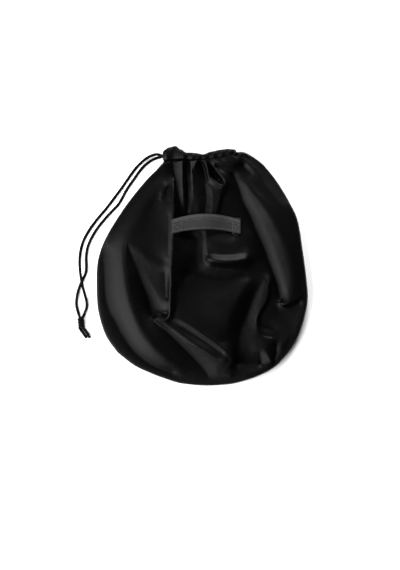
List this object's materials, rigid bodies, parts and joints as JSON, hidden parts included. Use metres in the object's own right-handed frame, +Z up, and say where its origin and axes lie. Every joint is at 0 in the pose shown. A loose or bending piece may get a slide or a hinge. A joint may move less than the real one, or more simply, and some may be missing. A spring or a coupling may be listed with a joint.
{
  "type": "drawstring motorcycle helmet bag",
  "caption": "Soft black drawstring bag for a crash helmet, lying empty, with a gathered neck, a knotted cord and a sewn strap handle.",
  "frame": {"origin": "under the middle of the bag, on the surface that it lies on", "axes": "+Y from the base of the bag to its gathered mouth, +Z up through the front, +X to the right seen from above"},
  "size_m": [0.4593, 0.4712, 0.0496],
  "materials": {
    "bag_cloth": "smooth black satin-faced polyester with a soft sheen",
    "drawcord": "matt black twisted cord",
    "handle_webbing": "matt dark grey woven strap with stitched ends"
  },
  "bodies": {
    "root": {"front_panel": "bag_cloth", "back_panel": "bag_cloth", "drawcord_casing": "bag_cloth", "cord_in_casing": "drawcord", "cord_run_a": "drawcord", "cord_run_b": "drawcord", "cord_knot": "drawcord", "handle_strap": "handle_webbing"}
  },
  "joints": []
}
